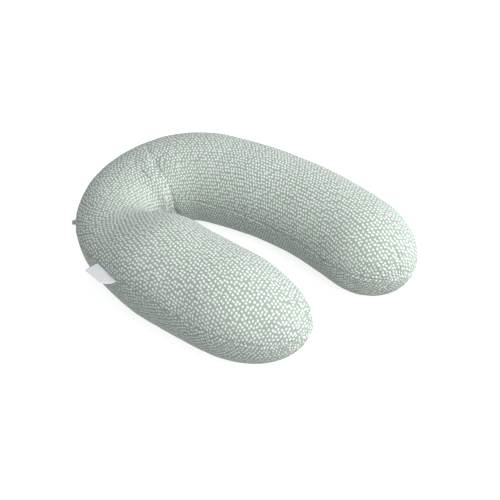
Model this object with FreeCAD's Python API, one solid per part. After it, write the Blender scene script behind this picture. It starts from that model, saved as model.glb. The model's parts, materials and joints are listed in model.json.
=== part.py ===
"""Nursing pillow: a long bead-filled cushion bent into a U, in a zipped cover.

Millimetres, +Z up, arms pointing to -Y. The pillow rests on z = 0.
The middle line of the cushion is three arcs that run into each other:
left arm, bend, right arm. Every soft layer is lofted along that line.
"""
import FreeCAD, Part
import math
import os

os.makedirs("parts", exist_ok=True)

V = FreeCAD.Vector
UP = V(0, 0, 1)

# Plan of the middle line
left_arm_radius = 1030.0
left_arm_turn = 24.5
bend_radius = 156.0
bend_turn = 154.5
right_arm_radius = 712.0
right_arm_turn = 41.5
bend_start_angle = 172.0
bend_centre_x = 11.1
bend_centre_y = 107.0

# Half width of the cushion, from the left tip to the right arm
left_tip_half_width = 111.0
left_belly_half_width = 114.0
left_belly_at = 330.0
bend_half_width = 87.0
bend_narrowest_at = 530.0
right_arm_half_width = 104.0

# Rounded ends
left_tip_length = 185.0
right_tip_length = 140.0
tip_gather_angle = 14.0

# Section of the cushion
height_per_half_width = 1.82
seam_height = 98.0
left_tip_seam_height = 106.0
seam_crest_height = 138.0
seam_crest_at = 360.0
seam_level_at = 590.0
floor_squash = 10.0
section_spacing = 34.0
tip_sections = 6

# Cloth layers
cover_thickness = 1.0
cover_ease = 2.5
cloth_gap = 0.3
casing_thickness = 0.6

# Flexing line across the bend
flex_travel = 692.0
flex_axis_offset = 6.0
flex_half_gap = 3.0

# Zip along the outer seam of the right arm
zip_start_turn = 3.0
zip_turn = 26.0
zip_window_half_height = 5.0
zip_window_depth = 12.0
zip_recess = 2.0
zip_tape_thickness = 0.6
zip_tape_height = 10.0
zip_tape_end = 8.0
zip_coil_thickness = 1.9
zip_coil_height = 2.2
zip_half_gap = 0.15
zip_stop_length = 3.0
zip_stop_half_height = 3.0
zip_end_clearance = 1.0

# Slider and its pull
slider_length = 12.0
slider_clearance = 0.4
slider_wall = 1.2
slider_side_clearance = 0.5
lug_length = 4.0
lug_thickness = 1.0
lug_height = 3.0
pin_radius = 0.6
pin_clearance = 0.1
eye_wall = 0.8
pull_thickness = 0.9
pull_length = 24.0
pull_width = 7.0
pull_side_clearance = 0.3

# Woven label on the left arm's outer seam
label_centre_at = 392.0
label_width = 70.0
label_reach = 32.0
label_thickness = 1.0

# Fabric tab caught in the seam of the bend
tab_at = 545.0
tab_width = 13.0
tab_reach = 7.0
tab_thickness = 1.6

# Care label between cover and casing
care_label_at = 235.0
care_label_width = 46.0
care_label_drop = 30.0
care_label_start = 3.0
care_label_gap = 0.4
care_label_thickness = 0.4

left_arm_length = math.radians(left_arm_turn) * left_arm_radius
bend_length = math.radians(bend_turn) * bend_radius
right_arm_length = math.radians(right_arm_turn) * right_arm_radius
bend_end = left_arm_length + bend_length
whole_length = bend_end + right_arm_length
bend_end_angle = bend_start_angle - bend_turn
casing_inset = cover_thickness + cover_ease
fill_inset = casing_inset + casing_thickness + cloth_gap
casing_base = cover_thickness + cloth_gap
fill_base = casing_base + casing_thickness + cloth_gap
far = 4.0 * left_arm_radius


def outward(angle):
    """Unit vector in the plan at this angle in degrees."""
    return V(math.cos(math.radians(angle)), math.sin(math.radians(angle)), 0)


bend_centre = V(bend_centre_x, bend_centre_y, 0)
left_arm_centre = bend_centre - outward(bend_start_angle) * (left_arm_radius - bend_radius)
right_arm_centre = bend_centre - outward(bend_end_angle) * (right_arm_radius - bend_radius)
zip_radius = right_arm_radius + right_arm_half_width


def normal_angle(distance):
    """Angle facing out of the pillow, square to the middle line."""
    if distance < left_arm_length:
        return bend_start_angle + math.degrees((left_arm_length - distance) / left_arm_radius)
    if distance < bend_end:
        return bend_start_angle - math.degrees((distance - left_arm_length) / bend_radius)
    return bend_end_angle - math.degrees((distance - bend_end) / right_arm_radius)


def middle_point(distance):
    """Point of the middle line at this distance from the left tip."""
    out = outward(normal_angle(distance))
    if distance < left_arm_length:
        return left_arm_centre + out * left_arm_radius
    if distance < bend_end:
        return bend_centre + out * bend_radius
    return right_arm_centre + out * right_arm_radius


def eased(rows, distance):
    """Value eased between (distance, value) rows, and level after the last one."""
    for (start, low), (end, high) in zip(rows, rows[1:]):
        if distance < end:
            share = max(0.0, (distance - start) / (end - start))
            return low + (high - low) * (0.5 - 0.5 * math.cos(math.pi * share))
    return rows[-1][1]


def half_width(distance):
    """Half width of the full section, eased between its named values."""
    rows = [(0.0, left_tip_half_width),
            (left_belly_at, left_belly_half_width),
            (bend_narrowest_at, bend_half_width),
            (bend_end, right_arm_half_width)]
    return eased(rows, distance)


def seam_at(distance):
    """Height of the seam, which rides up on the left arm and then runs level."""
    rows = [(0.0, left_tip_seam_height), (seam_crest_at, seam_crest_height), (seam_level_at, seam_height)]
    return eased(rows, distance)


def stations(inset):
    """Distance along the middle line and fullness of each lofted section."""
    rows = []
    for step in range(tip_sections):
        turn = math.radians(tip_gather_angle + (90 - tip_gather_angle) * step / tip_sections)
        rows.append((inset + (left_tip_length - inset) * (1 - math.cos(turn)), math.sin(turn)))
    start = left_tip_length
    end = whole_length - right_tip_length
    count = round((end - start) / section_spacing)
    rows += [(start + (end - start) * step / count, 1.0) for step in range(count + 1)]
    for step in reversed(range(tip_sections)):
        turn = math.radians(tip_gather_angle + (90 - tip_gather_angle) * step / tip_sections)
        from_tip = inset + (right_tip_length - inset) * (1 - math.cos(turn))
        rows.append((whole_length - from_tip, math.sin(turn)))
    return rows


def quarter(start, corner, end):
    """Quarter of an ellipse from start to end, inside the given corner."""
    curve = Part.BSplineCurve()
    weights = [1.0, math.sqrt(0.5), 1.0]
    curve.buildFromPolesMultsKnots([start, corner, end], [3, 3], [0.0, 1.0], False, 2, weights)
    return curve.toShape()


def outline(distance, fullness, inset):
    """Closed outline of the cushion: over the top, then round under the base."""
    seam = middle_point(distance) + UP * seam_at(distance)
    side = outward(normal_angle(distance)) * ((half_width(distance) - inset) * fullness)
    top = height_per_half_width * half_width(distance) - seam_at(distance) - inset
    rise = UP * (top * fullness)
    drop = UP * ((inset - seam_at(distance) - floor_squash) * fullness)
    return Part.Wire([quarter(seam + side, seam + side + rise, seam + rise),
                      quarter(seam + rise, seam - side + rise, seam - side),
                      quarter(seam - side, seam - side + drop, seam + drop),
                      quarter(seam + drop, seam + side + drop, seam + side)])


def cushion(inset, base_inset):
    """Solid of the whole cushion moved in by the inset, pressed flat on its base."""
    wires = [outline(distance, fullness, inset) for distance, fullness in stations(inset)]
    floor = Part.makeBox(far, far, seam_height, V(-far / 2, -far / 2, base_inset - seam_height))
    return Part.makeLoft(wires, True, False).cut(floor)


def beside_seam(side):
    """Space above (side 1) or below (side -1) the seam, along the whole cushion."""
    wires = []
    count = round(whole_length / section_spacing)
    for step in range(-1, count + 2):
        distance = whole_length * step / count
        across = outward(normal_angle(distance)) * (half_width(distance) + section_spacing / 2)
        near = middle_point(distance) + UP * (seam_at(distance) + side * cloth_gap / 2)
        away = UP * (side * 2 * seam_height)
        corners = [near - across, near + across, near + across + away, near - across + away]
        wires.append(Part.makePolygon(corners + [corners[0]]))
    return Part.makeLoft(wires, True, False)


def outline_point(distance):
    """Point of the outer seam at this distance along the middle line."""
    out = outward(normal_angle(distance))
    return middle_point(distance) + out * half_width(distance) + UP * seam_at(distance)


def seam_mount(distance, width):
    """Where something this wide sits on the outer seam: its point and outward direction."""
    points = [outline_point(distance + width * share) for share in (-0.5, -0.25, 0.0, 0.25, 0.5)]
    along = points[-1] - points[0]
    out = UP.cross(V(along.x, along.y, 0).normalize())
    proud = max((point - points[0]).dot(out) for point in points)
    return (points[0] + points[-1]) / 2 + out * (proud + cloth_gap), out


def flex_wedge():
    """Wedge between the two halves, with its edge on the flexing axis."""
    angle = normal_angle(flex_travel)
    tip = flex_axis()
    reach = 2 * half_width(flex_travel) + 3 * flex_axis_offset
    sides = [tip - outward(angle + turn) * reach for turn in (flex_half_gap, -flex_half_gap)]
    face = Part.Face(Part.makePolygon([tip, sides[0], sides[1], tip]))
    face.translate(UP * -seam_height)
    return face.extrude(UP * (4 * seam_height))


def flex_axis():
    """Point of the flexing axis, just outside the outer seam of the bend."""
    reach = half_width(flex_travel) + flex_axis_offset
    return middle_point(flex_travel) + outward(normal_angle(flex_travel)) * reach


def ring_block(centre, inner, outer, low, high, start_angle, end_angle):
    """Block swept about a vertical axis, between two radii, heights and angles."""
    corners = [centre + outward(end_angle) * radius + UP * z
               for radius, z in ((inner, low), (outer, low), (outer, high), (inner, high))]
    face = Part.Face(Part.makePolygon(corners + [corners[0]]))
    return face.revolve(centre, UP, start_angle - end_angle)


def zip_block(inner, outer, low, high, start_angle, end_angle):
    """Ring block about the right arm's centre, with heights from the seam."""
    low_z = seam_height + low
    return ring_block(right_arm_centre, inner, outer, low_z, seam_height + high, start_angle, end_angle)


def zip_angle(length):
    """Angle in degrees that a length takes up along the zip."""
    return math.degrees(length / zip_radius)


def frame_block(origin, out, low, high):
    """Box between two corners given as (out, along, up) from the origin."""
    box = Part.makeBox(high[0] - low[0], high[1] - low[1], high[2] - low[2], V(*low))
    turn = math.degrees(math.atan2(out.y, out.x))
    box.rotate(V(0, 0, 0), UP, turn)
    box.translate(origin)
    return box


def save(name, shape):
    """Write one sub-part to its own file."""
    shape.exportStep("parts/" + name + ".step")


def save_halves(name, shape):
    """Write a soft layer as its left and right half, parted at the flexing line."""
    onward = outward(normal_angle(flex_travel) - 90)
    parts = {"_left": [], "_right": []}
    for solid in shape.Solids:
        side = (solid.CenterOfMass - flex_axis()).dot(onward)
        parts["_right" if side > 0 else "_left"].append(solid)
    for side, solids in parts.items():
        save(name + side, Part.makeCompound(solids))


wedge = flex_wedge()

# Zip angles, measured about the right arm's centre
zip_start = bend_end_angle - zip_start_turn
zip_end = zip_start - zip_turn
tape_radius = zip_radius - zip_recess
coil_radius = tape_radius + zip_coil_thickness
stop_angle = zip_angle(zip_end_clearance + zip_stop_length)
clear_angle = zip_angle(zip_end_clearance)
tape_end_angle = zip_angle(zip_tape_end)

window = zip_block(zip_radius - zip_window_depth, zip_radius + zip_window_depth,
                   -zip_window_half_height, zip_window_half_height, zip_start, zip_end)
above_seam = beside_seam(1)
below_seam = beside_seam(-1)

# Cover
cover = cushion(0.0, 0.0).cut(cushion(cover_thickness, cover_thickness)).cut(window).cut(wedge)
save_halves("cover_top_panel", cover.common(above_seam))
save_halves("cover_bottom_panel", cover.common(below_seam))

# Inner casing
casing_hollow = cushion(casing_inset + casing_thickness, casing_base + casing_thickness)
casing = cushion(casing_inset, casing_base).cut(casing_hollow).cut(wedge)
save_halves("casing_top", casing.common(above_seam))
save_halves("casing_bottom", casing.common(below_seam))

# Bead fill
save_halves("bead_fill", cushion(fill_inset, fill_base).cut(wedge))

# Fabric tab
tab_root, tab_out = seam_mount(tab_at, tab_width)
save("side_tab", frame_block(tab_root, tab_out, (0.0, -tab_width / 2, -tab_thickness / 2),
                             (tab_reach, tab_width / 2, tab_thickness / 2)))

# Woven label, folded over a rounded root that it pivots on
label_root, label_out = seam_mount(label_centre_at, label_width)
label_root = label_root + label_out * (label_thickness / 2)
label_plate = frame_block(label_root, label_out, (0.0, -label_width / 2, -label_thickness / 2),
                          (label_reach, label_width / 2, label_thickness / 2))
label_along = UP.cross(label_out)
label_fold = Part.makeCylinder(label_thickness / 2, label_width,
                               label_root - label_along * (label_width / 2), label_along)
save("side_label", label_plate.fuse(label_fold).removeSplitter())

# Care label
care_outer = care_label_gap + cover_thickness
care_inner = care_outer + care_label_thickness
care_layer = cushion(care_outer, care_outer).cut(cushion(care_inner, care_inner))
care_out = outward(normal_angle(care_label_at))
care_root = middle_point(care_label_at) + UP * seam_at(care_label_at)
care_box = frame_block(care_root, care_out,
                       (0.0, -care_label_width / 2, -care_label_start - care_label_drop),
                       (2 * half_width(care_label_at), care_label_width / 2, -care_label_start))
save("care_label", care_layer.common(care_box))

# Zip tapes, coils and stops
for name, side in (("upper", 1), ("lower", -1)):
    tape_low, tape_high = sorted((side * zip_half_gap, side * zip_tape_height))
    save("zip_tape_" + name,
         zip_block(tape_radius - zip_tape_thickness, tape_radius, tape_low, tape_high,
                   zip_start + tape_end_angle, zip_end - tape_end_angle))
    coil_low, coil_high = sorted((side * zip_half_gap, side * zip_coil_height))
    save("zip_coil_" + name,
         zip_block(tape_radius, coil_radius, coil_low, coil_high,
                   zip_start - stop_angle, zip_end + stop_angle))
save("zip_stop_bend", zip_block(tape_radius, coil_radius, -zip_stop_half_height,
                                zip_stop_half_height, zip_start - clear_angle, zip_start - stop_angle))
save("zip_stop_tip", zip_block(tape_radius, coil_radius, -zip_stop_half_height,
                               zip_stop_half_height, zip_end + stop_angle, zip_end + clear_angle))

# Slider, closed against the stop at the tip end
slider_angle = zip_end + stop_angle + zip_angle(zip_end_clearance + slider_length / 2)
slider_out = outward(slider_angle)
slider_seam = right_arm_centre + UP * seam_height
slider_half_turn = zip_angle(slider_length / 2)
plate_inner = coil_radius + slider_clearance
plate_outer = plate_inner + slider_wall
side_inner = zip_coil_height + slider_side_clearance
side_outer = side_inner + slider_wall
channel = zip_block(tape_radius + slider_clearance, plate_outer, -side_outer, side_outer,
                    slider_angle + slider_half_turn, slider_angle - slider_half_turn)
groove = zip_block(tape_radius - slider_clearance, plate_inner, -side_inner, side_inner,
                   slider_angle + 2 * slider_half_turn, slider_angle - 2 * slider_half_turn)
eye_radius = pin_radius + pin_clearance + eye_wall
pin_height = eye_radius + slider_clearance
pin_centre = slider_seam + slider_out * (plate_outer + pin_height)
lug_inner = pull_width / 4 + pull_side_clearance
slider = channel.cut(groove)
for side in (1, -1):
    lug_low, lug_high = sorted((side * lug_inner, side * (lug_inner + lug_thickness)))
    slider = slider.fuse(frame_block(pin_centre, slider_out,
                                     (-pin_height - slider_wall / 2, -lug_length / 2, lug_low),
                                     (lug_height - pin_height, lug_length / 2, lug_high)))
pin = Part.makeCylinder(pin_radius, 2 * lug_inner, pin_centre - UP * lug_inner, UP)
save("zip_slider", slider.fuse(pin).removeSplitter())

# Pull tab, lying back along the zip
eye_height = pull_width / 2
eye = Part.makeCylinder(eye_radius, eye_height, pin_centre - UP * (eye_height / 2), UP)
neck = frame_block(pin_centre, slider_out, (-pull_thickness / 2, 0.0, -eye_height / 2),
                   (pull_thickness / 2, pull_length / 2, eye_height / 2))
blade = frame_block(pin_centre, slider_out, (-pull_thickness / 2, pull_length / 4, -pull_width / 2),
                    (pull_thickness / 2, pull_length, pull_width / 2))
pin_hole = Part.makeCylinder(pin_radius + pin_clearance, 2 * eye_height,
                             pin_centre - UP * eye_height, UP)
save("zip_pull", eye.fuse(neck).fuse(blade).cut(pin_hole).removeSplitter())
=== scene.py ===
import json
import math

import bmesh
import bpy
import numpy as np
from mathutils import Matrix, Vector, noise


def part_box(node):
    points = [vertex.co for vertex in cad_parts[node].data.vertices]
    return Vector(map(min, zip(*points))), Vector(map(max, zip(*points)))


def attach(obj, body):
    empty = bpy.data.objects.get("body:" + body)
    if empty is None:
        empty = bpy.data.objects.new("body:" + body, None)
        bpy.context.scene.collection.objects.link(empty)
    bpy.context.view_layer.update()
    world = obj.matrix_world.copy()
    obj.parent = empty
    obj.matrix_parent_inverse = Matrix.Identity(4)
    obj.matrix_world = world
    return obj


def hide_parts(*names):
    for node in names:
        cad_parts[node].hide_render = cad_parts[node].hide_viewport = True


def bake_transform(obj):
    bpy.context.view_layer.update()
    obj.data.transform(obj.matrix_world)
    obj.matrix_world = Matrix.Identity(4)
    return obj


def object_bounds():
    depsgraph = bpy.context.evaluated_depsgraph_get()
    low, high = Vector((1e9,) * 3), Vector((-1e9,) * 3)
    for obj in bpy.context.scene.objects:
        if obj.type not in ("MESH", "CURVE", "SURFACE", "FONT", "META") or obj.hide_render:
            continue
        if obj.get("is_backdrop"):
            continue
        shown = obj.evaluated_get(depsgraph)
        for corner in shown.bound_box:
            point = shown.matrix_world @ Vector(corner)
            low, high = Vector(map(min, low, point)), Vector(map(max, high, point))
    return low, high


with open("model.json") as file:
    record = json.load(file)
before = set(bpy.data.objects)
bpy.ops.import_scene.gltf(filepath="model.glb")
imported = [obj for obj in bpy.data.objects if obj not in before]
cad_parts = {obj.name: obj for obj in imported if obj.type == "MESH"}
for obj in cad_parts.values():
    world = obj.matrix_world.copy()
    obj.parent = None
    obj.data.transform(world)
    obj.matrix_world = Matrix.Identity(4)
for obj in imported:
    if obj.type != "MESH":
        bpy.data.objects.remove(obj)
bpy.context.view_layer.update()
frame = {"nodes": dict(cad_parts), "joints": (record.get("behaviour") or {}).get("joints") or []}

joints = {joint["name"]: joint for joint in frame["joints"]}

# Middle line of the cushion, in metres and degrees: left arm, bend, right arm
LEFT_ARM_RADIUS = 1.030
LEFT_ARM_TURN = 24.5
BEND_RADIUS = 0.156
BEND_TURN = 154.5
RIGHT_ARM_RADIUS = 0.712
RIGHT_ARM_TURN = 41.5
BEND_START_ANGLE = 172.0
BEND_CENTRE = np.array([0.0111, 0.107])
LEFT_ARM_LENGTH = math.radians(LEFT_ARM_TURN) * LEFT_ARM_RADIUS
BEND_END = LEFT_ARM_LENGTH + math.radians(BEND_TURN) * BEND_RADIUS
WHOLE_LENGTH = BEND_END + math.radians(RIGHT_ARM_TURN) * RIGHT_ARM_RADIUS
BEND_END_ANGLE = BEND_START_ANGLE - BEND_TURN

# Section of the cushion along the middle line: (distance, value) rows
HALF_WIDTHS = [(0.0, 0.111), (0.330, 0.114), (0.530, 0.087), (BEND_END, 0.104)]
SEAM_HEIGHTS = [(0.0, 0.106), (0.360, 0.138), (0.590, 0.098)]
HEIGHT_PER_HALF_WIDTH = 1.82
FLOOR_SQUASH = 0.010
LEFT_TIP = 0.185
RIGHT_TIP = 0.140

# Zip along the outer seam of the right arm
ZIP_CENTRE = Vector(joints["zip_run"]["pos_m"])
ZIP_RADIUS = 0.816
ZIP_START_ANGLE = 14.5
ZIP_END_ANGLE = -11.5
ZIP_START = BEND_END + math.radians(BEND_END_ANGLE - ZIP_START_ANGLE) * RIGHT_ARM_RADIUS
ZIP_END = BEND_END + math.radians(BEND_END_ANGLE - ZIP_END_ANGLE) * RIGHT_ARM_RADIUS
ZIP_RECESS = 0.002

# Label and tab in the outer seam
LABEL_AT = 0.392
LABEL_WIDTH = 0.070
LABEL_REACH = 0.032
TAB_AT = 0.545
CARE_LABEL_AT = 0.235

PUFF_REACH = 0.006
PUFF_FRAMES = 20


def unit(angle):
    """Plan directions at these angles in degrees."""
    turn = np.radians(angle)
    return np.stack([np.cos(turn), np.sin(turn)], axis=-1)


LEFT_ARM_CENTRE = BEND_CENTRE - unit(BEND_START_ANGLE) * (LEFT_ARM_RADIUS - BEND_RADIUS)
RIGHT_ARM_CENTRE = BEND_CENTRE - unit(BEND_END_ANGLE) * (RIGHT_ARM_RADIUS - BEND_RADIUS)


def eased(rows, at):
    """Values eased between (distance, value) rows, and level beyond them."""
    at = np.asarray(at, float)
    value = np.full(at.shape, rows[-1][1])
    for (start, low), (end, high) in reversed(list(zip(rows, rows[1:]))):
        share = np.clip((at - start) / (end - start), 0, 1)
        between = low + (high - low) * (0.5 - 0.5 * np.cos(np.pi * share))
        value = np.where(at < end, between, value)
    return value


def normal_angle(at):
    """Angle facing out of the pillow, square to the middle line."""
    at = np.asarray(at, float)
    left = BEND_START_ANGLE + np.degrees((LEFT_ARM_LENGTH - at) / LEFT_ARM_RADIUS)
    bend = BEND_START_ANGLE - np.degrees((at - LEFT_ARM_LENGTH) / BEND_RADIUS)
    right = BEND_END_ANGLE - np.degrees((at - BEND_END) / RIGHT_ARM_RADIUS)
    return np.where(at < LEFT_ARM_LENGTH, left, np.where(at < BEND_END, bend, right))


def middle(at):
    """Plan points of the middle line."""
    at = np.asarray(at, float)
    out = unit(normal_angle(at))
    left = LEFT_ARM_CENTRE + out * LEFT_ARM_RADIUS
    bend = BEND_CENTRE + out * BEND_RADIUS
    right = RIGHT_ARM_CENTRE + out * RIGHT_ARM_RADIUS
    on_left = (at < LEFT_ARM_LENGTH)[..., None]
    on_bend = (at < BEND_END)[..., None]
    return np.where(on_left, left, np.where(on_bend, bend, right))


def skin(at, full, turn, inset=0.0):
    """Points of the cushion's skin: turn is 0 at the outer seam and 90 at the crown."""
    turn = np.radians(turn)
    half = eased(HALF_WIDTHS, at)
    seam = eased(SEAM_HEIGHTS, at)
    top = HEIGHT_PER_HALF_WIDTH * half - seam - inset
    base = seam + FLOOR_SQUASH - inset
    rise = np.where(np.sin(turn) > 0, top, base) * np.sin(turn) * full
    plan = middle(at) + unit(normal_angle(at)) * ((half - inset) * np.cos(turn) * full)[..., None]
    return np.concatenate([plan, np.maximum(seam + rise, inset)[..., None]], axis=-1)


def bump(distance, width):
    """Soft hump of height 1 that falls away over the width."""
    return np.exp(-(distance / width) ** 2)


def fade(distance, near, away):
    """1 up to near, easing to 0 at away."""
    share = np.clip((distance - near) / (away - near), 0, 1)
    return 1 - share * share * (3 - 2 * share)


def ripple(at, seed, shortest, longest, waves=14):
    """Seeded irregular wave along a distance, from about -1 to 1."""
    pick = np.random.RandomState(seed)
    lengths = np.exp(pick.uniform(np.log(shortest), np.log(longest), waves))
    starts = pick.uniform(0, 2 * np.pi, waves)
    waves_there = np.sin(2 * np.pi * at[..., None] / lengths + starts)
    return waves_there.sum(-1) / math.sqrt(waves) * 0.9


# Mesh helpers
def piece_from(bm, name, smooth=True):
    """Turn a bmesh into a shown object at the origin."""
    mesh = bpy.data.meshes.new(name)
    bm.to_mesh(mesh)
    bm.free()
    for polygon in mesh.polygons:
        polygon.use_smooth = smooth
    piece = bpy.data.objects.new(name, mesh)
    bpy.context.scene.collection.objects.link(piece)
    return piece


def places(piece):
    """Vertex positions of a mesh piece."""
    found = np.zeros(len(piece.data.vertices) * 3)
    piece.data.vertices.foreach_get("co", found)
    return found.reshape(-1, 3)


def put(piece, points):
    """Move the vertices of a mesh piece to these points."""
    piece.data.vertices.foreach_set("co", points.ravel())
    piece.data.update()


def normals(piece):
    """Vertex normals of a mesh piece."""
    found = np.zeros(len(piece.data.vertices) * 3)
    piece.data.vertex_normals.foreach_get("vector", found)
    return found.reshape(-1, 3)


def values(piece, name):
    """A number kept on each vertex."""
    found = np.zeros(len(piece.data.vertices))
    piece.data.attributes[name].data.foreach_get("value", found)
    return found


def keep(piece, name, numbers):
    """Keep a number on each vertex."""
    layer = piece.data.attributes.new(name, "FLOAT", "POINT")
    layer.data.foreach_set("value", np.asarray(numbers, np.float32))


def applied(piece, name):
    """New piece with the modifiers of this one applied."""
    depsgraph = bpy.context.evaluated_depsgraph_get()
    mesh = bpy.data.meshes.new_from_object(piece.evaluated_get(depsgraph))
    made = bpy.data.objects.new(name, mesh)
    bpy.context.scene.collection.objects.link(made)
    return made


def subdivided(piece, name):
    """New piece with one level of subdivision in its mesh."""
    modifier = piece.modifiers.new("Subdivision", "SUBSURF")
    modifier.levels = 1
    modifier.render_levels = 1
    made = applied(piece, name)
    piece.modifiers.remove(modifier)
    return made


# Rings of the cover's mesh: distances, fullness and turns
quarter_turns = [0.0, 1.2, 3.2, 6.0] + list(np.linspace(9.5, 90, 24))
turns = quarter_turns + [180 - turn for turn in reversed(quarter_turns[:-1])]
turns = turns + [180 + turn for turn in quarter_turns[1:]]
turns = np.array(turns + [360 - turn for turn in reversed(quarter_turns[1:-1])])
CROWN = int(np.argmin(abs(turns - 90)))
INNER_SEAM = int(np.argmin(abs(turns - 180)))
BASE = int(np.argmin(abs(turns - 270)))

tip_turns = np.radians(np.linspace(3.2, 90, 28))
left_rings = LEFT_TIP * (1 - np.cos(tip_turns))
right_rings = WHOLE_LENGTH - RIGHT_TIP * (1 - np.cos(tip_turns))
arm_rings = np.concatenate([np.arange(LEFT_TIP + 0.006, 0.640, 0.006), np.arange(0.640, 0.664, 0.004),
                            np.arange(0.664, 0.724, 0.0022), np.arange(0.724, 0.760, 0.004),
                            np.arange(0.760, WHOLE_LENGTH - RIGHT_TIP - 0.003, 0.006)])
zip_rings = np.array([ZIP_START - 0.001, ZIP_START + 0.001, ZIP_END - 0.001, ZIP_END + 0.001])
arm_rings = arm_rings[abs(arm_rings[:, None] - zip_rings).min(axis=1) > 0.0025]
arm_rings = np.sort(np.concatenate([arm_rings, zip_rings]))
rings = np.concatenate([[0.0], left_rings, arm_rings, right_rings[::-1], [WHOLE_LENGTH]])
fullness = np.concatenate([[0.0], np.sin(tip_turns), np.ones(len(arm_rings)),
                           np.sin(tip_turns)[::-1], [0.0]])


def ring_points(inset):
    """Skin points of every ring."""
    count = (len(rings), len(turns))
    at = np.broadcast_to(rings[:, None], count)
    full = np.broadcast_to(fullness[:, None], count)
    return skin(at, full, np.broadcast_to(turns[None, :], count), inset)


def cloth_map():
    """Where each ring point lies on the flat top and base cloth, in metres."""
    points = ring_points(0.0)
    crown_steps = np.linalg.norm(np.diff(points[:, CROWN], axis=0), axis=-1)
    run = np.concatenate([[0.0], np.cumsum(crown_steps)])
    start = int(np.argmin(abs(rings - LEFT_TIP)))
    run = run - run[start] + rings[start]
    closed = np.concatenate([points, points[:, :1]], axis=1)
    around = np.cumsum(np.linalg.norm(np.diff(closed, axis=1), axis=-1), axis=1)
    around = np.concatenate([np.zeros((len(rings), 1)), around], axis=1)
    line = middle(run)[:, None]
    out = unit(normal_angle(run))[:, None]
    top = line + out * (around[:, CROWN][:, None] - around)[..., None]
    base = line + out * (around - around[:, BASE][:, None])[..., None]
    return top, base + np.array([2.0, 0.0])


def cushion_mesh(name, inset):
    """Closed skin of quads, ring by ring, with its cloth map and its own distances."""
    bm = bmesh.new()
    ring_layer = bm.verts.layers.int.new("ring")
    turn_layer = bm.verts.layers.int.new("turn")
    first = bmesh.ops.create_circle(bm, segments=len(turns), radius=0.01)["verts"]
    for index, vert in enumerate(first):
        vert[ring_layer] = 1
        vert[turn_layer] = index
    open_edges = bm.edges[:]
    start_edges = bm.edges[:]
    for ring in range(2, len(rings) - 1):
        made = bmesh.ops.extrude_edge_only(bm, edges=open_edges)["geom"]
        fresh = {part for part in made if isinstance(part, bmesh.types.BMVert)}
        for vert in fresh:
            vert[ring_layer] = ring
        open_edges = [part for part in made if isinstance(part, bmesh.types.BMEdge)
                      and part.verts[0] in fresh and part.verts[1] in fresh]
    for edges, ring in ((start_edges, 0), (open_edges, len(rings) - 1)):
        made = bmesh.ops.extrude_edge_only(bm, edges=edges)["geom"]
        fresh = [part for part in made if isinstance(part, bmesh.types.BMVert)]
        for vert in fresh:
            vert[ring_layer] = ring
        bmesh.ops.pointmerge(bm, verts=fresh, merge_co=Vector((0, 0, 0)))
    points = ring_points(inset)
    top, base = cloth_map()
    for vert in bm.verts:
        vert.co = points[vert[ring_layer], vert[turn_layer]]
    uv_layer = bm.loops.layers.uv.new("cloth")
    count = len(turns)
    for face in bm.faces:
        columns = [loop.vert[turn_layer] for loop in face.loops
                   if loop.vert[ring_layer] not in (0, len(rings) - 1)]
        wraps = max(columns) == count - 1 and 0 in columns
        on_top = not wraps and max(columns) <= INNER_SEAM
        for loop in face.loops:
            row = loop.vert[ring_layer]
            column = loop.vert[turn_layer]
            if row in (0, len(rings) - 1):
                column = columns[0]
            if on_top:
                place = top[row, column]
            elif column == 0 and wraps:
                place = base_wrap[row]
            else:
                place = base[row, column]
            loop[uv_layer].uv = place
    for edge in bm.edges:
        sides = {INNER_SEAM if vert[ring_layer] in (0, len(rings) - 1) else vert[turn_layer]
                 for vert in edge.verts}
        edge.seam = sides <= {0, INNER_SEAM} and len({vert[ring_layer] for vert in edge.verts}) == 2
    bmesh.ops.recalc_face_normals(bm, faces=bm.faces[:])
    ring_of = np.array([vert[ring_layer] for vert in bm.verts])
    turn_of = turns[np.array([vert[turn_layer] for vert in bm.verts])]
    piece = piece_from(bm, name)
    keep(piece, "along", rings[ring_of])
    keep(piece, "full", fullness[ring_of])
    keep(piece, "turn_x", np.cos(np.radians(turn_of)))
    keep(piece, "turn_y", np.sin(np.radians(turn_of)))
    return piece


def base_wrap_places():
    """Cloth places of the outer seam as the base cloth's edge, one for each ring."""
    points = ring_points(0.0)
    closed = np.concatenate([points, points[:, :1]], axis=1)
    around = np.cumsum(np.linalg.norm(np.diff(closed, axis=1), axis=-1), axis=1)
    crown_steps = np.linalg.norm(np.diff(points[:, CROWN], axis=0), axis=-1)
    run = np.concatenate([[0.0], np.cumsum(crown_steps)])
    start = int(np.argmin(abs(rings - LEFT_TIP)))
    run = run - run[start] + rings[start]
    reach = around[:, -1] - around[:, BASE - 1]
    return middle(run) + unit(normal_angle(run)) * reach[:, None] + np.array([2.0, 0.0])


base_wrap = base_wrap_places()


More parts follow.
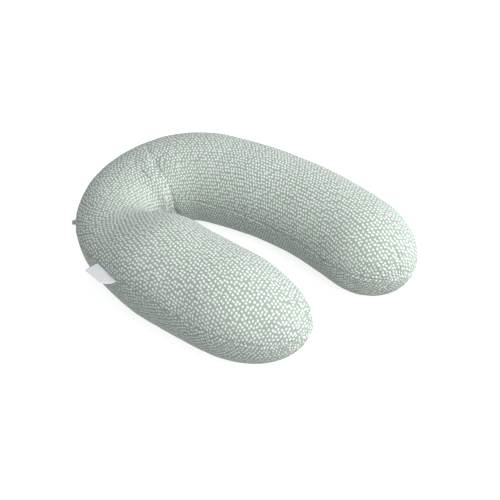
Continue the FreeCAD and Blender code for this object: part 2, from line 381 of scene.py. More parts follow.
def lay_flat(piece):
    """Flatten each panel with as little stretch as its cloth would take, keeping its place and size."""
    layer = piece.data.uv_layers["cloth"]
    rough = np.zeros(len(layer.data) * 2)
    layer.data.foreach_get("uv", rough)
    bpy.context.view_layer.objects.active = piece
    piece.select_set(True)
    bpy.ops.object.mode_set(mode="EDIT")
    bpy.ops.mesh.select_all(action="SELECT")
    bpy.ops.uv.unwrap(method="MINIMUM_STRETCH", margin=0.02)
    bpy.ops.object.mode_set(mode="OBJECT")
    layer = piece.data.uv_layers["cloth"]
    flat = np.zeros(len(layer.data) * 2)
    layer.data.foreach_get("uv", flat)
    rough = rough[0::2] + 1j * rough[1::2]
    flat = flat[0::2] + 1j * flat[1::2]
    for panel in (rough.real < 1.0, rough.real >= 1.0):
        aim, have = rough[panel], flat[panel]
        best = None
        for turned in (have, np.conj(have)):
            centred = turned - turned.mean()
            factor = np.vdot(centred, aim - aim.mean()) / np.vdot(centred, centred)
            laid = aim.mean() + factor * centred
            error = abs(laid - aim).mean()
            if best is None or error < best[0]:
                best = (error, laid)
        flat[panel] = best[1]
    out = np.stack([flat.real, flat.imag], axis=-1)
    corners = places(piece)
    loops = np.zeros(len(piece.data.loops), int)
    piece.data.loops.foreach_get("vertex_index", loops)
    for panel in (rough.real < 1.0, rough.real >= 1.0):
        following = np.roll(loops, -1)
        real = np.linalg.norm(corners[loops[panel]] - corners[following[panel]], axis=1)
        drawn = np.linalg.norm(out[panel] - np.roll(out, -1, axis=0)[panel], axis=1)
        short = (real < 0.02) & (drawn < 0.04)
        ratio = real[short].sum() / drawn[short].sum()
        middle_point = out[panel].mean(axis=0)
        out[panel] = middle_point + (out[panel] - middle_point) * ratio
    layer.data.foreach_set("uv", out.ravel())


def seam_reach(piece):
    """For each vertex: distance along, height away from the nearest seam, and which side."""
    along = values(piece, "along")
    across = values(piece, "turn_x")
    lift = values(piece, "turn_y")
    size = np.maximum(np.hypot(across, lift), 1e-6)
    turn = np.degrees(np.arctan2(lift / size, across / size)) % 360
    seam = np.degrees(np.arcsin(np.clip(lift / size, -1, 1)))
    return along, turn, np.radians(seam) * 0.098 * values(piece, "full")


def evened(piece, numbers, times):
    """Numbers on the vertices, averaged with their neighbours a few times."""
    ends = np.zeros(len(piece.data.edges) * 2, int)
    piece.data.edges.foreach_get("vertices", ends)
    first, second = ends[0::2], ends[1::2]
    count = np.bincount(first, minlength=len(numbers)) + np.bincount(second, minlength=len(numbers))
    for _ in range(times):
        total = numbers.copy()
        np.add.at(total, first, numbers[second])
        np.add.at(total, second, numbers[first])
        numbers = total / (count + 1)[:, None]
    return numbers


def puff(piece):
    """Swell the skin with air pressure, its seams drawn in, and keep the swelling small."""
    start = places(piece)
    along, turn, height = seam_reach(piece)
    tip = 1 - values(piece, "full")
    drawn = np.maximum(fade(abs(height), 0.004, 0.014) * 0.7, np.clip(tip * 2.2, 0, 1))
    group = piece.vertex_groups.new(name="drawn_in")
    for index, weight in enumerate(drawn):
        if weight > 0.01:
            group.add([index], float(weight), "REPLACE")
    cloth = piece.modifiers.new("Cloth", "CLOTH")
    cloth.settings.quality = 5
    cloth.settings.mass = 0.25
    cloth.settings.tension_stiffness = 12
    cloth.settings.compression_stiffness = 12
    cloth.settings.shear_stiffness = 4
    cloth.settings.bending_stiffness = 0.4
    cloth.settings.use_pressure = True
    cloth.settings.uniform_pressure_force = 4
    cloth.settings.vertex_group_shrink = "drawn_in"
    cloth.settings.shrink_max = 0.04
    cloth.settings.effector_weights.gravity = 0
    cloth.point_cache.frame_start = 1
    cloth.point_cache.frame_end = PUFF_FRAMES
    scene = bpy.context.scene
    for step in range(1, PUFF_FRAMES + 1):
        scene.frame_set(step)
    depsgraph = bpy.context.evaluated_depsgraph_get()
    swollen = places(piece.evaluated_get(depsgraph))
    piece.modifiers.remove(cloth)
    piece.vertex_groups.clear()
    scene.frame_set(1)
    move = swollen - start
    far = np.linalg.norm(move, axis=1)
    move = move * (PUFF_REACH * np.tanh(far / PUFF_REACH) / np.maximum(far, 1e-9))[:, None]
    put(piece, start + evened(piece, move, 12))


def zip_gap(along):
    """Distance outside the zip's stretch of the seam."""
    return np.maximum(np.maximum(ZIP_START - along, along - ZIP_END), 0)


def fit_to_cad(piece):
    """Bring the puffed skin back to the CAD cover's box, and to its seam at zip, label and tab."""
    corners = [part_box(node) for node in ("cover_top_panel_left", "cover_top_panel_right",
                                         "cover_bottom_panel_left", "cover_bottom_panel_right")]
    low = np.min([np.array(corner[0]) for corner in corners], axis=0)
    high = np.max([np.array(corner[1]) for corner in corners], axis=0)
    points = places(piece)
    points[:, 2] = np.maximum(points[:, 2], 0)
    own_low, own_high = points.min(axis=0), points.max(axis=0)
    points = low + (points - own_low) / (own_high - own_low) * (high - low)
    along, turn, height = seam_reach(piece)
    outer = np.where((turn < 90) | (turn > 270), abs(height), 1.0)
    hold = fade(np.hypot(zip_gap(along), outer), 0.016, 0.045)
    for place, half in ((LABEL_AT, LABEL_WIDTH / 2), (TAB_AT, 0.008)):
        beyond = np.maximum(abs(along - place) - half, 0)
        hold = np.maximum(hold, fade(np.hypot(beyond, outer), 0.005, 0.030))
    exact = skin(along, values(piece, "full"), turn)
    points += (exact - points) * hold[:, None]
    put(piece, points)


def open_zip_pocket(piece):
    """Push the seam in behind the zip, so that the cloth ends in a lip above and below it."""
    along, turn, height = seam_reach(piece)
    outer = np.minimum(turn, 360 - turn) < 2.5
    inside = outer & (along > ZIP_START) & (along < ZIP_END)
    points = places(piece)
    points[inside] -= normals(piece)[inside] * 0.007
    put(piece, points)


# Folds pressed into the inner side of the bend: (distance along, turn, depth) in metres and degrees
FOLDS = [[(0.722, 58, 0.0), (0.713, 75, 0.0018), (0.697, 107, 0.0040), (0.683, 133, 0.0045),
          (0.678, 147, 0.0030), (0.680, 160, 0.0)],
         [(0.709, 90, 0.0), (0.707, 103, 0.0040), (0.703, 119, 0.0065), (0.701, 140, 0.0090),
          (0.696, 161, 0.0115), (0.700, 180, 0.0130), (0.714, 196, 0.0120), (0.740, 207, 0.0090),
          (0.775, 220, 0.0)]]
TURN_LENGTH = 0.0017


def fold_in(along, turn, rows):
    """Signed distance from a fold line, positive on the right arm's side, and its depth there."""
    best = np.full(along.shape, 9.0)
    signed = np.full(along.shape, 9.0)
    depth = np.zeros(along.shape)
    for (s0, t0, d0), (s1, t1, d1) in zip(rows, rows[1:]):
        a = np.array([s0, t0 * TURN_LENGTH])
        b = np.array([s1, t1 * TURN_LENGTH])
        there = np.stack([along, turn * TURN_LENGTH], axis=-1)
        share = np.clip(((there - a) @ (b - a)) / ((b - a) @ (b - a)), 0, 1)
        off = there - (a + share[:, None] * (b - a))
        distance = np.linalg.norm(off, axis=1)
        side = np.sign(off[:, 0] * (b - a)[1] - off[:, 1] * (b - a)[0])
        nearer = distance < best
        best = np.where(nearer, distance, best)
        signed = np.where(nearer, distance * side, signed)
        depth = np.where(nearer, d0 + (d1 - d0) * share, depth)
    return signed, depth


def settle(piece, detail=1.0, folded=True):
    """Folds, dents, drawn seams and lumps of a cloth skin over loose beads."""
    points = places(piece)
    facing = normals(piece)
    along, turn, height = seam_reach(piece)
    full = values(piece, "full")
    push = np.zeros(len(points))
    slide = np.zeros(len(points))
    for rows in FOLDS:
        signed, depth = fold_in(along, turn, rows)
        if not folded:
            push -= 2.1 * depth * bump(signed - 0.003, 0.017)
            continue
        right = np.exp(-np.maximum(signed, 0) / 0.017)
        left = np.exp(np.minimum(signed, 0) / 0.0020)
        push -= depth * np.where(signed > 0, right, left)
        push -= 0.45 * depth * bump(signed - 0.0005, 0.0020)
        push += 0.25 * depth * bump(signed + 0.014, 0.012)
        slide += 0.42 * depth * np.clip(-signed / 0.004, 0, 1) * np.exp(np.minimum(signed + 0.004, 0) / 0.010)
    dents = [(0.395, 17, 0.030, 0.0035), (0.223, 24, 0.034, 0.0035), (0.300, 150, 0.045, 0.002),
             (1.316, 200, 0.016, 0.0045), (0.075, 30, 0.018, 0.0025), (0.560, 40, 0.040, 0.0015)]
    for place, at_turn, size, depth in dents:
        aside = (abs(turn - at_turn + 180) % 360 - 180) * TURN_LENGTH
        push -= depth * bump(np.hypot(along - place, aside), size)
    aside = (abs(turn - 152 + 180) % 360 - 180) * TURN_LENGTH
    push += 0.012 * bump(along - 0.662, 0.034) * bump(aside, 0.055)
    outer = (turn < 90) | (turn > 270)
    at_zip = np.where(outer, fade(zip_gap(along), 0.0, 0.012), 0)
    at_label = np.where(outer, fade(abs(along - LABEL_AT) - LABEL_WIDTH / 2, 0.0, 0.010), 0)
    free = 1 - np.maximum(at_zip, at_label)
    above = turn < 180
    wave = np.where(above, ripple(along, 3, 0.011, 0.034), ripple(along, 8, 0.012, 0.036))
    drawn = fade(abs(height), 0.002, 0.024) * np.minimum(abs(height) / 0.004, 1)
    tips = np.clip((0.93 - full) * 2.5, 0, 1)
    push += free * detail * drawn * wave * (0.0006 + 0.0006 * tips)
    push -= free * detail * 0.0016 * bump(height, 0.0022) * np.clip(full * 1.4, 0, 1)
    push += free * detail * 0.0005 * bump(abs(height) - 0.0055, 0.003)
    gather = ripple(np.radians(turn) * 0.1 + along * 0.02, 5, 0.016, 0.045)
    push += detail * 0.0008 * gather * np.clip((0.85 - full) * 3, 0, 1) * np.clip(full * 3, 0, 1)
    held = 1 - np.maximum(fade(np.hypot(zip_gap(along), np.where(outer, height, 1)), 0.012, 0.03), at_label * 0.8)
    lumps = np.array([noise.noise(Vector(point) * 11) * 0.0014 + noise.noise(Vector(point) * 34) * 0.0007
                      for point in points])
    push += held * detail * lumps
    run = np.stack([-np.sin(np.radians(normal_angle(along))), np.cos(np.radians(normal_angle(along)))], axis=-1)
    points += facing * push[:, None]
    points[:, :2] -= run * slide[:, None]
    points[:, 2] = np.maximum(points[:, 2], 0)
    put(piece, points)


def shrunk(piece, name, inset):
    """Copy of a skin moved in by this much, further in behind the zip."""
    made = applied(piece, name)
    along, turn, height = seam_reach(made)
    behind_zip = np.where((turn < 90) | (turn > 270), 0.004 * fade(np.hypot(zip_gap(along), height), 0.01, 0.03), 0)
    points = places(made) - normals(made) * (inset + behind_zip)[:, None]
    points[:, 2] = np.maximum(points[:, 2], inset * 0.6)
    put(made, points)
    return made


# Material helpers
def material(name, tone, roughness, sheen=0.0):
    """New material with its principled shader; tone is the colour seen far off."""
    made = bpy.data.materials.new(name)
    made.use_nodes = True
    made.diffuse_color = (*tone, 1)
    shader = made.node_tree.nodes["Principled BSDF"]
    shader.inputs["Base Color"].default_value = (*tone, 1)
    shader.inputs["Roughness"].default_value = roughness
    shader.inputs["Sheen Weight"].default_value = sheen
    return made, made.node_tree, shader


def add(tree, kind, sockets=None, **settings):
    """Add a node with its settings; sockets are values, or the outputs that feed them."""
    made = tree.nodes.new(kind)
    for name, value in settings.items():
        setattr(made, name, value)
    for name, value in (sockets or {}).items():
        if isinstance(value, bpy.types.NodeSocket):
            tree.links.new(value, made.inputs[name])
        else:
            made.inputs[name].default_value = value
    return made


def maths(tree, operation, first, second=0.0):
    """Output of a math node."""
    made = add(tree, "ShaderNodeMath", {0: first, 1: second}, operation=operation)
    return made.outputs[0]


def between(tree, value, low, high, to_low=0.0, to_high=1.0):
    """Output of a smooth map of a value from one range to another."""
    sockets = {"Value": value, "From Min": low, "From Max": high, "To Min": to_low, "To Max": to_high}
    return add(tree, "ShaderNodeMapRange", sockets, interpolation_type="SMOOTHSTEP").outputs[0]


def mixed(tree, share, first, second, blend="MIX"):
    """Output of a colour mix."""
    made = add(tree, "ShaderNodeMix", data_type="RGBA", blend_type=blend)
    for socket, value in (("Factor_Float", share), ("A_Color", first), ("B_Color", second)):
        target = next(item for item in made.inputs if item.identifier == socket)
        if isinstance(value, bpy.types.NodeSocket):
            tree.links.new(value, target)
        else:
            target.default_value = value
    return next(item for item in made.outputs if item.identifier == "Result_Color")


def weave(tree, coordinates, pitch):
    """Height of a plain weave with threads this far apart."""
    warp = add(tree, "ShaderNodeTexWave", {"Vector": coordinates, "Scale": 0.314 / pitch, "Distortion": 0.6},
               wave_type="BANDS", bands_direction="X")
    weft = add(tree, "ShaderNodeTexWave", {"Vector": coordinates, "Scale": 0.314 / pitch, "Distortion": 0.6},
               wave_type="BANDS", bands_direction="Y")
    return maths(tree, "MULTIPLY", warp.outputs["Fac"], weft.outputs["Fac"])


def printed_cotton():
    """Sage cotton printed with short off-white grains, each turned its own way."""
    made, tree, shader = material("sage_printed_cotton", (0.40, 0.47, 0.42), 0.88, 0.06)
    shader.inputs["Sheen Roughness"].default_value = 0.55
    shader.inputs["Sheen Tint"].default_value = (0.78, 0.75, 0.72, 1)
    shader.inputs["Specular IOR Level"].default_value = 0.25
    cloth = add(tree, "ShaderNodeUVMap", uv_map="cloth").outputs["UV"]
    drift = add(tree, "ShaderNodeTexNoise", {"Vector": cloth, "Scale": 22.0, "Detail": 1.0}).outputs["Color"]
    shift = add(tree, "ShaderNodeVectorMath", {0: drift, 1: (0.5, 0.5, 0.5)}, operation="SUBTRACT")
    shift = add(tree, "ShaderNodeVectorMath", {0: shift.outputs[0], "Scale": 0.006}, operation="SCALE")
    bent = add(tree, "ShaderNodeVectorMath", {0: cloth, 1: shift.outputs[0]}, operation="ADD")
    cells = add(tree, "ShaderNodeMapping", {"Vector": bent.outputs[0], "Rotation": (0, 0, 0.42),
                                            "Scale": (136, 136, 1)}).outputs[0]
    rows = add(tree, "ShaderNodeSeparateXYZ", {"Vector": cells})
    slanted = maths(tree, "MULTIPLY_ADD", rows.outputs["Y"], 0.5)
    tree.links.new(rows.outputs["X"], slanted.node.inputs[2])
    brick = add(tree, "ShaderNodeCombineXYZ", {"X": slanted, "Y": rows.outputs["Y"]}).outputs[0]
    grain = add(tree, "ShaderNodeTexVoronoi", {"Vector": brick, "Scale": 1.0, "Randomness": 0.38},
                voronoi_dimensions="2D", feature="F1")
    edge = add(tree, "ShaderNodeTexVoronoi", {"Vector": brick, "Scale": 1.0, "Randomness": 0.38},
               voronoi_dimensions="2D", feature="DISTANCE_TO_EDGE").outputs["Distance"]
    own = add(tree, "ShaderNodeVectorMath", {0: brick, 1: grain.outputs["Position"]}, operation="SUBTRACT")
    apart_xy = add(tree, "ShaderNodeSeparateXYZ", {"Vector": own.outputs[0]})
    upright = maths(tree, "MULTIPLY_ADD", apart_xy.outputs["Y"], -0.5)
    tree.links.new(apart_xy.outputs["X"], upright.node.inputs[2])
    own = add(tree, "ShaderNodeCombineXYZ", {"X": upright, "Y": apart_xy.outputs["Y"]})
    random = add(tree, "ShaderNodeSeparateColor", {"Color": grain.outputs["Color"]})
    panel = add(tree, "ShaderNodeSeparateXYZ", {"Vector": cloth})
    swing = maths(tree, "MULTIPLY_ADD", panel.outputs["X"], -3.4)
    swing.node.inputs[2].default_value = -0.40
    lean = maths(tree, "MULTIPLY_ADD", random.outputs["Red"], 1.35)
    tree.links.new(swing, lean.node.inputs[2])
    turned = add(tree, "ShaderNodeVectorRotate", {"Vector": own.outputs[0], "Angle": lean}, rotation_type="Z_AXIS")
    sides = add(tree, "ShaderNodeSeparateXYZ", {"Vector": turned.outputs[0]})
    wide = maths(tree, "MULTIPLY_ADD", random.outputs["Green"], 0.06)
    wide.node.inputs[2].default_value = 0.215
    tall = maths(tree, "MULTIPLY_ADD", random.outputs["Blue"], 0.09)
    tall.node.inputs[2].default_value = 0.315
    across = maths(tree, "POWER", maths(tree, "ABSOLUTE", maths(tree, "DIVIDE", sides.outputs["X"], wide)), 2.6)
    down = maths(tree, "POWER", maths(tree, "ABSOLUTE", maths(tree, "DIVIDE", sides.outputs["Y"], tall)), 2.6)
    shape = between(tree, maths(tree, "ADD", across, down), 0.75, 1.25, 1.0, 0.0)
    apart = between(tree, edge, 0.04, 0.10)
    ink = maths(tree, "MULTIPLY", shape, apart)
    patches = add(tree, "ShaderNodeTexNoise", {"Vector": cloth, "Scale": 9.0, "Detail": 3.0}).outputs["Fac"]
    fine = add(tree, "ShaderNodeTexNoise", {"Vector": cloth, "Scale": 900.0, "Detail": 2.0}).outputs["Fac"]
    sage = mixed(tree, between(tree, patches, 0.3, 0.7), (0.325, 0.392, 0.342, 1), (0.362, 0.430, 0.380, 1))
    sage = mixed(tree, between(tree, fine, 0.35, 0.65), sage, (0.360, 0.415, 0.370, 1))
    white = mixed(tree, between(tree, fine, 0.3, 0.7), (0.74, 0.80, 0.76, 1), (0.84, 0.89, 0.86, 1))
    colour = mixed(tree, ink, sage, white)
    tree.links.new(colour, shader.inputs["Base Color"])
    threads = weave(tree, cloth, 0.0006)
    crumple = add(tree, "ShaderNodeTexNoise", {"Vector": cloth, "Scale": 60.0, "Detail": 3.0}).outputs["Fac"]
    low = add(tree, "ShaderNodeBump", {"Height": crumple, "Strength": 0.35, "Distance": 0.0008})
    high = add(tree, "ShaderNodeBump", {"Height": threads, "Strength": 0.25, "Distance": 0.0002,
                                        "Normal": low.outputs[0]})
    tree.links.new(high.outputs[0], shader.inputs["Normal"])
    rough = between(tree, fine, 0.2, 0.8, 0.82, 0.95)
    tree.links.new(rough, shader.inputs["Roughness"])
    return made


def plain_cloth(name, light, dark, pitch, roughness=0.85, sheen=0.15):
    """Unprinted woven cloth on Object coordinates, with painted shade in the hollows between threads."""
    made, tree, shader = material(name, light, roughness, sheen)
    place = add(tree, "ShaderNodeTexCoord").outputs["Object"]
    patches = add(tree, "ShaderNodeTexNoise", {"Vector": place, "Scale": 30.0, "Detail": 3.0}).outputs["Fac"]
    threads = weave(tree, place, pitch)
    base = mixed(tree, between(tree, patches, 0.3, 0.7), (*dark, 1), (*light, 1))
    # painted shade: the colour is darkened toward the dark tone where the weave's height is low, in the hollows
    # between threads
    base = mixed(tree, between(tree, threads, 0.0, 0.8, 0.35, 0.0), base, (*dark, 1))
    tree.links.new(base, shader.inputs["Base Color"])
    bumped = add(tree, "ShaderNodeBump", {"Height": threads, "Strength": 0.5, "Distance": pitch * 0.3})
    tree.links.new(bumped.outputs[0], shader.inputs["Normal"])
    return made


def bead_surface():
    """Small foam beads pressed together, with painted shade in the gaps between them."""
    made, tree, shader = material("foam_beads", (0.86, 0.86, 0.84), 0.6)
    place = add(tree, "ShaderNodeTexCoord").outputs["Object"]
    beads = add(tree, "ShaderNodeTexVoronoi", {"Vector": place, "Scale": 260.0}, feature="F1")
    # painted shade: the colour darkens from each bead's middle to the gaps between beads
    painted_gap_shade = between(tree, beads.outputs["Distance"], 0.1, 0.7)
    tree.links.new(mixed(tree, painted_gap_shade, (0.90, 0.90, 0.88, 1), (0.62, 0.62, 0.60, 1)), shader.inputs["Base Color"])
    bumped = add(tree, "ShaderNodeBump", {"Height": beads.outputs["Distance"], "Strength": 0.9, "Distance": 0.002})
    bumped.invert = True
    tree.links.new(bumped.outputs[0], shader.inputs["Normal"])
    return made


def nickel():
    """Brushed nickel with worn, slightly brighter patches."""
    made, tree, shader = material("zip_nickel", (0.62, 0.61, 0.58), 0.32)
    shader.inputs["Metallic"].default_value = 1.0
    place = add(tree, "ShaderNodeTexCoord").outputs["Object"]
    wear = add(tree, "ShaderNodeTexNoise", {"Vector": place, "Scale": 420.0, "Detail": 4.0}).outputs["Fac"]
    tree.links.new(mixed(tree, between(tree, wear, 0.35, 0.65), (0.50, 0.49, 0.47, 1), (0.70, 0.69, 0.66, 1)),
                   shader.inputs["Base Color"])
    tree.links.new(between(tree, wear, 0.2, 0.8, 0.24, 0.42), shader.inputs["Roughness"])
    bumped = add(tree, "ShaderNodeBump", {"Height": wear, "Strength": 0.15, "Distance": 0.0002})
    tree.links.new(bumped.outputs[0], shader.inputs["Normal"])
    return made


def moulded_coil():
    """Moulded sage nylon of the zip teeth."""
    made, tree, shader = material("sage_nylon", (0.34, 0.39, 0.35), 0.45)
    place = add(tree, "ShaderNodeTexCoord").outputs["Object"]
    grain = add(tree, "ShaderNodeTexNoise", {"Vector": place, "Scale": 700.0, "Detail": 2.0}).outputs["Fac"]
    tree.links.new(mixed(tree, between(tree, grain, 0.3, 0.7), (0.28, 0.33, 0.29, 1), (0.36, 0.41, 0.37, 1)),
                   shader.inputs["Base Color"])
    tree.links.new(between(tree, grain, 0.2, 0.8, 0.38, 0.55), shader.inputs["Roughness"])
    return made


def finish_with(piece, finish):
    """Give a piece its material."""
    piece.data.materials.clear()
    piece.data.materials.append(finish)


def across_bend(piece):
    """Bake a soft layer's placement into its mesh; it is not tied to either half."""
    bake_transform(piece)


cotton = printed_cotton()
casing_cloth = plain_cloth("casing_cotton", (0.80, 0.79, 0.75), (0.68, 0.67, 0.63), 0.0008)
beads = bead_surface()
metal = nickel()
nylon = moulded_coil()
tape_cloth = plain_cloth("sage_tape", (0.36, 0.41, 0.37), (0.26, 0.31, 0.27), 0.0007)
satin = plain_cloth("white_satin", (0.90, 0.91, 0.93), (0.80, 0.82, 0.85), 0.0005, 0.45, 0.05)
care_satin = plain_cloth("care_satin", (0.86, 0.86, 0.84), (0.76, 0.76, 0.74), 0.0005, 0.5, 0.05)
thread = plain_cloth("sage_thread", (0.50, 0.56, 0.51), (0.38, 0.44, 0.39), 0.0003)

# Cover, and the casing and fill that follow its shape
skin_mesh = cushion_mesh("cushion_skin", 0.0045)
lay_flat(skin_mesh)
puff(skin_mesh)
fit_to_cad(skin_mesh)
coarse = applied(skin_mesh, "coarse_skin")
settle(coarse, 0.5, folded=False)
open_zip_pocket(skin_mesh)
cover = subdivided(skin_mesh, "cover")
settle(cover)
finish_with(cover, cotton)
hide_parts("cover_top_panel_left", "cover_top_panel_right",
            "cover_bottom_panel_left", "cover_bottom_panel_right")
across_bend(cover)

casing = shrunk(coarse, "casing", 0.0042)
finish_with(casing, casing_cloth)
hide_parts("casing_top_left", "casing_top_right", "casing_bottom_left", "casing_bottom_right")
across_bend(casing)

fill = shrunk(coarse, "bead_fill", 0.0058)
finish_with(fill, beads)
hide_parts("bead_fill_left", "bead_fill_right")
across_bend(fill)
for spare in (skin_mesh, coarse):
    bpy.data.objects.remove(spare)


def seam_points(piece, side_turn, start, end):
    """Points of the piece's seam on one side, in order along it, with their outward normals."""
    along, turn, height = seam_reach(piece)
    aside = abs((turn - side_turn + 180) % 360 - 180)
    on_seam = (aside < 0.25) & (along > start) & (along < end)
    order = np.argsort(along[on_seam])
    return places(piece)[on_seam][order], normals(piece)[on_seam][order], along[on_seam][order]


def tube_along(name, points, radius, closed=False):
    """Round tube along points, as a mesh at the origin."""
    line = bpy.data.curves.new(name, "CURVE")
    line.dimensions = "3D"
    line.bevel_depth = radius
    line.bevel_resolution = 1
    line.use_fill_caps = True
    spline = line.splines.new("POLY")
    spline.points.add(len(points) - 1)
    spline.points.foreach_set("co", np.hstack([points, np.ones((len(points), 1))]).ravel())
    spline.use_cyclic_u = closed
    holder = bpy.data.objects.new(name + "_line", line)
    bpy.context.scene.collection.objects.link(holder)
    made = applied(holder, name)
    bpy.data.objects.remove(holder)
    for polygon in made.data.polygons:
        polygon.use_smooth = True
    return made


# Folded seam edge that shows as a thin line in the groove
for name, side_turn, spans in (("seam_edge_outer", 0, ((0.004, ZIP_START - 0.006), (ZIP_END + 0.006, WHOLE_LENGTH - 0.004))),
                               ("seam_edge_inner", 180, ((0.004, WHOLE_LENGTH - 0.004),))):
    for number, (start, end) in enumerate(spans):
        points, facing, along = seam_points(cover, side_turn, start, end)
        edge = tube_along(f"{name}_{number}", points + facing * 0.0002, 0.0007)
        finish_with(edge, thread)
        across_bend(edge)


def stitch_row(name, points, facing, length, radius, gap):
    """Row of short thread stitches laid on a line of points."""
    runs = np.concatenate([[0.0], np.cumsum(np.linalg.norm(np.diff(points, axis=0), axis=1))])
    bm = bmesh.new()
    count = int(runs[-1] / (length + gap))
    for number in range(count):
        ends = [(number + 0.1) * (length + gap), (number + 0.1) * (length + gap) + length]
        a, b = [Vector([np.interp(end, runs, points[:, axis]) for axis in range(3)]) for end in ends]
        out = Vector([np.interp(ends[0], runs, facing[:, axis]) for axis in range(3)])
        bead = bmesh.ops.create_uvsphere(bm, u_segments=6, v_segments=4, radius=1.0)["verts"]
        bmesh.ops.scale(bm, vec=(radius, radius, (b - a).length / 2), verts=bead)
        turn = (b - a).to_track_quat("Z", "Y").to_matrix().to_4x4()
        bmesh.ops.transform(bm, matrix=Matrix.Translation((a + b) / 2 + out * radius * 0.3) @ turn, verts=bead)
    return piece_from(bm, name)


# Stitching that holds the zip tapes, above and below the opening
zip_stations = np.linspace(ZIP_START - 0.004, ZIP_END + 0.004, 160)
for name, lift in (("zip_stitching_upper", 5.2), ("zip_stitching_lower", -4.6)):
    along, turn, height = seam_reach(cover)
    cover_points, cover_normals = places(cover), normals(cover)
    exact = skin(zip_stations, np.ones(len(zip_stations)), np.full(len(zip_stations), lift))
    nearest = [int(np.argmin(((cover_points - point) ** 2).sum(axis=1))) for point in exact]
    facing = cover_normals[nearest]
    depth = ((cover_points[nearest] - exact) * facing).sum(axis=1)
    row = stitch_row(name, exact + facing * depth[:, None], facing, 0.0024, 0.00028, 0.0008)
    finish_with(row, thread)
    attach(row, "right_half")


def zip_point(angle, radius, lift):
    """Point about the zip's centre."""
    out = unit(angle)
    return ZIP_CENTRE + Vector((out[0] * radius, out[1] * radius, lift))


def zip_band(name, inner, outer, low, high, start, end, steps):
    """Band swept about the zip's centre."""
    bm = bmesh.new()
    corners = [bm.verts.new(zip_point(start, radius, lift))
               for radius, lift in ((inner, low), (outer, low), (outer, high), (inner, high))]
    face = bm.faces.new(corners)
    bmesh.ops.spin(bm, geom=[face, *face.edges, *face.verts], cent=ZIP_CENTRE, axis=(0, 0, 1),
                   angle=math.radians(end - start), steps=steps, use_duplicate=False, use_merge=False)
    bmesh.ops.holes_fill(bm, edges=[edge for edge in bm.edges if edge.is_boundary], sides=4)
    bmesh.ops.recalc_face_normals(bm, faces=bm.faces[:])
    return piece_from(bm, name, smooth=False)


TAPE_END = math.degrees(0.008 / ZIP_RADIUS)
TAPE_RADIUS = ZIP_RADIUS - ZIP_RECESS
for side, name in ((1, "upper"), (-1, "lower")):
    low, high = sorted((side * 0.00015, side * 0.010))
    tape = zip_band("tape_" + name, TAPE_RADIUS - 0.0006, TAPE_RADIUS, low, high,
                    ZIP_START_ANGLE + TAPE_END, ZIP_END_ANGLE - TAPE_END, 90)
    finish_with(tape, tape_cloth)
    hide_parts("zip_tape_" + name)
    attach(tape, "right_half")

    bm = bmesh.new()
    tooth_pitch = 0.0016
    stop_turn = math.degrees(0.004 / ZIP_RADIUS)
    first, last = ZIP_START_ANGLE - stop_turn, ZIP_END_ANGLE + stop_turn
    count = int(math.radians(first - last) * ZIP_RADIUS / tooth_pitch)
    for number in range(count):
        angle = first + (last - first) * (number + 0.5 + 0.25 * side) / count
        tooth = bmesh.ops.create_uvsphere(bm, u_segments=6, v_segments=5, radius=1.0)["verts"]
        bmesh.ops.scale(bm, vec=(0.00088, 0.00052, 0.00125), verts=tooth)
        place = Matrix.Translation(zip_point(angle, TAPE_RADIUS + 0.0009, side * 0.00122))
        bmesh.ops.transform(bm, matrix=place @ Matrix.Rotation(math.radians(angle), 4, "Z"), verts=tooth)
    teeth = piece_from(bm, "coil_" + name)
    finish_with(teeth, nylon)
    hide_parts("zip_coil_" + name)
    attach(teeth, "right_half")

for node in ("zip_stop_bend", "zip_stop_tip", "zip_slider", "zip_pull"):
    metal_part = frame["nodes"][node]
    metal_part.data.materials.clear()
    metal_part.data.materials.append(metal)
    softened = metal_part.modifiers.new("Bevel", "BEVEL")
    softened.width = 0.00015
    softened.segments = 2
    softened.limit_method = "ANGLE"

# Woven label: a ribbon folded in two, its fold at the free edge, a little curled up
label_joint = joints["side_label_bend"]
label_root = Vector(label_joint["pos_m"])
label_along = Vector(label_joint["axis"]).normalized()
label_out = label_along.cross(Vector((0, 0, 1))).normalized()
label_low, label_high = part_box("side_label")
if ((label_low + label_high) / 2 - label_root).dot(label_out) < 0:
    label_out = -label_out


def ribbon(name, width, reach, thickness, columns, rows, shape):
    """Two plies of ribbon joined at a rounded fold, bent by a shape of (across, out)."""
    bm = bmesh.new()
    bmesh.ops.create_grid(bm, x_segments=columns, y_segments=rows, size=0.5)
    bmesh.ops.extrude_face_region(bm, geom=bm.faces[:])
    bm.verts.ensure_lookup_table()
    half = len(bm.verts) // 2
    for number, vert in enumerate(bm.verts):
        vert.co.z = thickness * (0.5 if number >= half else -0.5)
    bmesh.ops.recalc_face_normals(bm, faces=bm.faces[:])
    for vert in bm.verts:
        across, out, lift = vert.co.x * width, (vert.co.y + 0.5) * reach, vert.co.z
        vert.co = shape(across, out, lift)
    piece = piece_from(bm, name)
    return piece


def label_shape(across, out, lift):
    """The label's own bend: rooted straight, curled up along the free edge and at one corner."""
    share = out / LABEL_REACH
    edge = across / (LABEL_WIDTH / 2)
    rise = (0.0035 + 0.0040 * (1 - edge)) * share ** 2 - 0.0022 * share
    ply = 0.35 + 0.65 * (1 - abs(2 * share - 1) ** 3)
    spread = across * (1 - 0.16 * share ** 2)
    return (label_root + label_along * spread + label_out * (out + 0.0006 * math.cos(9 * edge) * share)
            + Vector((0, 0, rise + lift * ply)))


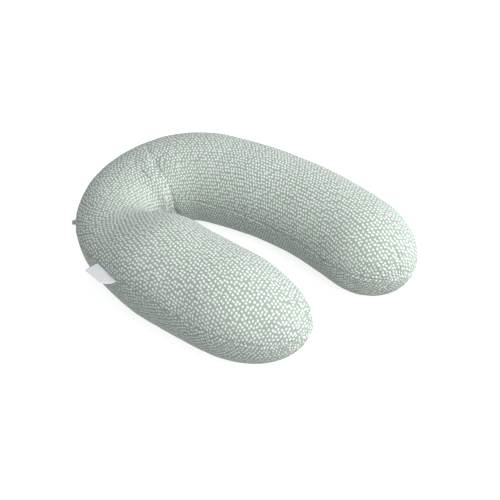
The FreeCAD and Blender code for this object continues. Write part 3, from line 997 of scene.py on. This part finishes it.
label = ribbon("woven_label", LABEL_WIDTH, LABEL_REACH, 0.0014, 26, 12, label_shape)
finish_with(label, satin)
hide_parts("side_label")
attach(label, "side_label")
for number, (a, b) in enumerate((((-0.47, 0.09), (0.47, 0.09)), ((-0.475, 0.10), (-0.475, 0.90)),
                                 ((0.475, 0.10), (0.475, 0.90)))):
    shares = np.linspace(0, 1, 30)
    line = np.array([label_shape((a[0] + (b[0] - a[0]) * share) * LABEL_WIDTH,
                                 (a[1] + (b[1] - a[1]) * share) * LABEL_REACH, 0.0007) for share in shares])
    row = stitch_row(f"label_stitching_{number}", line, np.tile([0.0, 0.0, 1.0], (30, 1)), 0.0019, 0.0002, 0.0007)
    finish_with(row, satin)
    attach(row, "side_label")

# Fabric tab: the end of a folded strip caught in the seam
tab_low, tab_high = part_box("side_tab")
tab_centre = (tab_low + tab_high) / 2
tab_out = Vector((*unit(normal_angle(TAB_AT)), 0))
tab_along = Vector((0, 0, 1)).cross(tab_out)
tab_root = tab_centre - tab_out * 0.0035


def tab_shape(across, out, lift):
    """A short stub that frays unevenly at its end."""
    share = out / 0.0085
    fray = 0.0011 * math.sin(across * 1900) + 0.0008 * math.sin(across * 4300 + 1)
    return (tab_root + tab_along * across * (1 + 0.12 * math.sin(share * 3)) + tab_out * (out - 0.0015 + fray * share)
            + Vector((0, 0, lift * (1 - 0.35 * share) - 0.0012 * share ** 2)))


tab = ribbon("seam_tab", 0.013, 0.0085, 0.0018, 16, 6, tab_shape)
finish_with(tab, thread)
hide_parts("side_tab")
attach(tab, "left_half")


def care_shape(across, out, lift):
    """The care label lies between cover and casing, hanging from the seam."""
    at = np.array([CARE_LABEL_AT + across])
    drop = -math.degrees((out + 0.003) / 0.11)
    place = skin(at, np.ones(1), np.array([360 + drop]), 0.0024)[0]
    face = skin(at, np.ones(1), np.array([360 + drop]), 0.0034)[0]
    return Vector(place) + (Vector(place) - Vector(face)).normalized() * lift


care = ribbon("care_label_ribbon", 0.046, 0.030, 0.0004, 18, 12, care_shape)
finish_with(care, care_satin)
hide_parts("care_label")
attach(care, "left_half")

# Floor, light and camera
bm = bmesh.new()
bmesh.ops.create_grid(bm, x_segments=1, y_segments=1, size=9.0)
bmesh.ops.translate(bm, vec=(0, 0, -0.0005), verts=bm.verts[:])
floor = piece_from(bm, "floor", smooth=False)
floor_paint, floor_tree, floor_shader = material("white_floor", (0.60, 0.60, 0.60), 0.8)
floor_shader.inputs["Emission Color"].default_value = (1, 1, 1, 1)
floor_shader.inputs["Emission Strength"].default_value = 0.74
floor.data.materials.append(floor_paint)
floor.visible_diffuse = False
floor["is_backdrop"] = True


def lamp(name, place, target, size, power, tint):
    """Square area light facing a target."""
    light = bpy.data.lights.new(name, "AREA")
    light.shape = "RECTANGLE"
    light.size = size
    light.size_y = size
    light.energy = power
    light.color = tint
    holder = bpy.data.objects.new(name, light)
    holder.location = place
    holder.rotation_mode = "QUATERNION"
    holder.rotation_quaternion = (Vector(target) - Vector(place)).to_track_quat("-Z", "Y")
    bpy.context.scene.collection.objects.link(holder)


lamp("soft_front", (-0.2, -2.0, 1.7), (0, 0, 0.05), 2.0, 40, (1.0, 0.995, 0.985))
lamp("soft_right", (1.6, -1.6, 1.1), (0, 0, 0.1), 1.6, 22, (0.97, 0.99, 1.0))

world = bpy.data.worlds.new("studio")
bpy.context.scene.world = world
world.use_nodes = True
sky = world.node_tree
rays = add(sky, "ShaderNodeTexCoord").outputs["Generated"]
height = add(sky, "ShaderNodeSeparateXYZ", {"Vector": rays}).outputs["Z"]
side = add(sky, "ShaderNodeVectorMath", {0: rays, 1: (0.30, -0.90, 0.25)}, operation="DOT_PRODUCT").outputs["Value"]
wall = mixed(sky, between(sky, side, -0.7, 0.7), (0.60, 0.605, 0.61, 1), (1.28, 1.29, 1.30, 1))
dome = mixed(sky, between(sky, height, -0.75, 0.10), (0.55, 0.55, 0.55, 1), wall)
sky.links.new(dome, sky.nodes["Background"].inputs["Color"])
sky.nodes["Background"].inputs["Strength"].default_value = 0.66

camera = bpy.data.objects.new("camera", bpy.data.cameras.new("camera"))
bpy.context.scene.collection.objects.link(camera)
camera.data.sensor_width = 36.0
camera.data.lens = 90.72
target = Vector((0.099, 0.0135, 0.0))
azimuth, elevation, distance = math.radians(309), math.radians(40), 2.766
back = Vector((math.sin(azimuth) * math.cos(elevation), -math.cos(azimuth) * math.cos(elevation),
               math.sin(elevation)))
camera.location = target + back * distance
camera.rotation_mode = "QUATERNION"
camera.rotation_quaternion = (-back).to_track_quat("-Z", "Y")
bpy.context.scene.camera = camera
bpy.context.scene.view_settings.view_transform = "Standard"

low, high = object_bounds()
